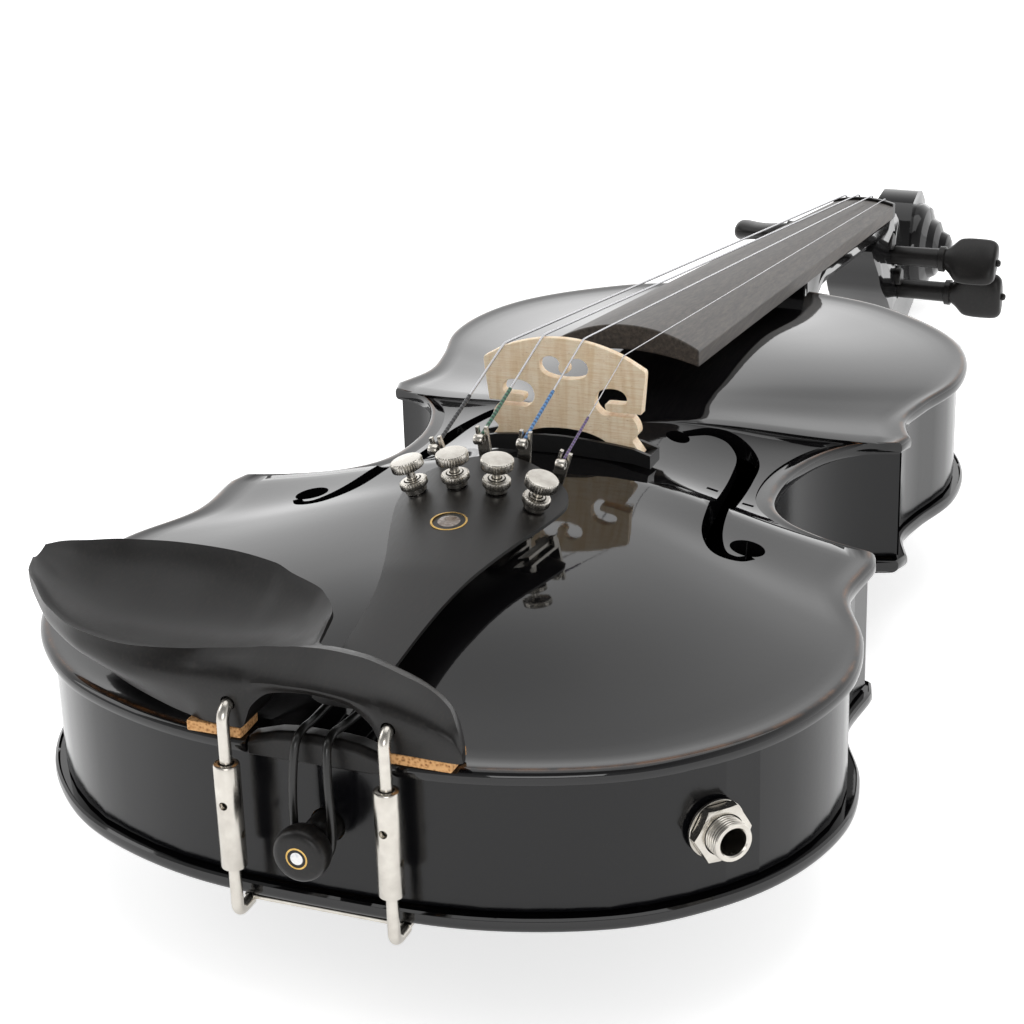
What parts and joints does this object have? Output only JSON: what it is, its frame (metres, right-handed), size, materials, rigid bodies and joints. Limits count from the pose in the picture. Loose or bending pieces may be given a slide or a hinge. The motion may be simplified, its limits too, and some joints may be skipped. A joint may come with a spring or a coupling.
{
  "type": "violin",
  "caption": "Full-size acoustic-electric violin with pegs, fine tuners, bridge pickup, jack and clamped chin rest, lying on its back.",
  "frame": {"origin": "middle of the bounding box in plan, at the height of its lowest point, the back of the scroll", "axes": "+Y from the end button to the scroll, +X to the treble side, +Z out of the top plate"},
  "size_m": [0.2052, 0.5844, 0.1112],
  "materials": {
    "black_lacquer": "black gloss lacquer on carved wood",
    "black_plastic": "satin black moulding",
    "board_ebony": "matt dark wood",
    "cable": "matt insulation",
    "cork": "bare cork",
    "ebony": "satin black wood",
    "maple": "bare pale wood",
    "nickel": "polished plate",
    "spruce": "bare pale wood",
    "string_metal": "wound steel"
  },
  "bodies": {
    "instrument": {"back_plate": "black_lacquer", "bass_bar": "spruce", "bridge": "maple", "chinrest": "ebony", "chinrest_cork_left": "cork", "chinrest_cork_right": "cork", "chinrest_leg_left": "nickel", "chinrest_leg_right": "nickel", "corner_block_lower_bass": "spruce", "corner_block_lower_treble": "spruce", "corner_block_upper_bass": "spruce", "corner_block_upper_treble": "spruce", "end_block": "spruce", "end_button": "ebony", "fingerboard": "board_ebony", "jack_nut": "nickel", "jack_socket": "nickel", "jack_washer": "nickel", "neck_block": "spruce", "neck_scroll": "black_lacquer", "nut": "ebony", "pickup_cable": "cable", "pickup_tray": "black_plastic", "rib_lower": "black_lacquer", "rib_upper_bass": "black_lacquer", "rib_upper_treble": "black_lacquer", "rib_waist_bass": "black_lacquer", "rib_waist_treble": "black_lacquer", "saddle": "ebony", "sound_post": "spruce", "string_a": "string_metal", "string_d": "string_metal", "string_e": "string_metal", "string_g": "string_metal", "tail_gut": "ebony", "tailpiece": "ebony", "top_plate": "black_lacquer", "tuner_body_a": "nickel", "tuner_body_d": "nickel", "tuner_body_e": "nickel", "tuner_body_g": "nickel", "tuner_nut_a": "nickel", "tuner_nut_d": "nickel", "tuner_nut_e": "nickel", "tuner_nut_g": "nickel"},
    "peg_g": {"peg_g": "ebony"},
    "tuner_screw_g": {"tuner_screw_g": "nickel"},
    "tuner_lever_g": {"tuner_lever_g": "nickel"},
    "peg_d": {"peg_d": "ebony"},
    "tuner_screw_d": {"tuner_screw_d": "nickel"},
    "tuner_lever_d": {"tuner_lever_d": "nickel"},
    "peg_a": {"peg_a": "ebony"},
    "tuner_screw_a": {"tuner_screw_a": "nickel"},
    "tuner_lever_a": {"tuner_lever_a": "nickel"},
    "peg_e": {"peg_e": "ebony"},
    "tuner_screw_e": {"tuner_screw_e": "nickel"},
    "tuner_lever_e": {"tuner_lever_e": "nickel"},
    "chinrest_barrel_left": {"chinrest_barrel_left": "nickel"},
    "chinrest_barrel_right": {"chinrest_barrel_right": "nickel"},
    "chinrest_lower_bracket": {"chinrest_lower_bracket": "nickel"}
  },
  "joints": [
    {"name": "peg_g_turn", "type": "hinge", "parent": "instrument", "child": "peg_g", "pos_m": [0, 0.2145, 0.0433], "axis": [-1, 0, 0], "continuous": true},
    {"name": "tuner_screw_g_travel", "type": "slide", "parent": "instrument", "child": "tuner_screw_g", "axis": [-0.2588, -0.111, 0.9595], "range_m": [-0.0018, 0.0009]},
    {"name": "tuner_lever_g_tilt", "type": "hinge", "parent": "instrument", "child": "tuner_lever_g", "pos_m": [-0.01474, -0.16679, 0.08278], "axis": [0.9659, -0.0297, 0.2571], "range_deg": [-3.76, 6.84]},
    {"name": "peg_d_turn", "type": "hinge", "parent": "instrument", "child": "peg_d", "pos_m": [0, 0.2237, 0.0265], "axis": [-1, 0, 0], "continuous": true},
    {"name": "tuner_screw_d_travel", "type": "slide", "parent": "instrument", "child": "tuner_screw_d", "axis": [-0.0872, -0.1145, 0.9896], "range_m": [-0.0018, 0.0009]},
    {"name": "tuner_lever_d_tilt", "type": "hinge", "parent": "instrument", "child": "tuner_lever_d", "pos_m": [-0.00577, -0.16298, 0.08512], "axis": [0.9962, -0.01, 0.0866], "range_deg": [-3.27, 5.95]},
    {"name": "peg_a_turn", "type": "hinge", "parent": "instrument", "child": "peg_a", "pos_m": [0, 0.2287, 0.0201], "axis": [1, 0, 0], "continuous": true},
    {"name": "tuner_screw_a_travel", "type": "slide", "parent": "instrument", "child": "tuner_screw_a", "axis": [0.1045, -0.1143, 0.9879], "range_m": [-0.0018, 0.0009]},
    {"name": "tuner_lever_a_tilt", "type": "hinge", "parent": "instrument", "child": "tuner_lever_a", "pos_m": [0.00365, -0.16298, 0.08525], "axis": [0.9945, 0.012, -0.1038], "range_deg": [-3.15, 5.73]},
    {"name": "peg_e_turn", "type": "hinge", "parent": "instrument", "child": "peg_e", "pos_m": [0, 0.2197, 0.0363], "axis": [1, 0, 0], "continuous": true},
    {"name": "tuner_screw_e_travel", "type": "slide", "parent": "instrument", "child": "tuner_screw_e", "axis": [0.3256, -0.1087, 0.9393], "range_m": [-0.0018, 0.0009]},
    {"name": "tuner_lever_e_tilt", "type": "hinge", "parent": "instrument", "child": "tuner_lever_e", "pos_m": [0.01286, -0.16701, 0.08312], "axis": [0.9455, 0.0374, -0.3234], "range_deg": [-3.5, 6.37]},
    {"name": "chinrest_barrel_left_turn", "type": "hinge", "parent": "instrument", "child": "chinrest_barrel_left", "pos_m": [-0.0186, -0.2838, 0.0507], "axis": [0, 0, 1], "range_deg": [0, 1442]},
    {"name": "chinrest_barrel_right_turn", "type": "hinge", "parent": "instrument", "child": "chinrest_barrel_right", "pos_m": [0.02, -0.2838, 0.0507], "axis": [0, 0, 1], "range_deg": [0, 1442]},
    {"name": "chinrest_bracket_travel", "type": "slide", "parent": "instrument", "child": "chinrest_lower_bracket", "axis": [0, 0, -1], "range_m": [0, 0.004]}
  ],
  "couplings": [
    {"joint": "tuner_screw_g_travel", "follows": "tuner_lever_g_tilt", "m_per_rad": -0.0134},
    {"joint": "tuner_screw_d_travel", "follows": "tuner_lever_d_tilt", "m_per_rad": -0.0154},
    {"joint": "tuner_screw_a_travel", "follows": "tuner_lever_a_tilt", "m_per_rad": -0.016},
    {"joint": "tuner_screw_e_travel", "follows": "tuner_lever_e_tilt", "m_per_rad": -0.0144},
    {"joint": "chinrest_barrel_left_turn", "follows": "chinrest_bracket_travel", "rad_per_m": 6289.3},
    {"joint": "chinrest_barrel_right_turn", "follows": "chinrest_bracket_travel", "rad_per_m": 6289.3}
  ]
}
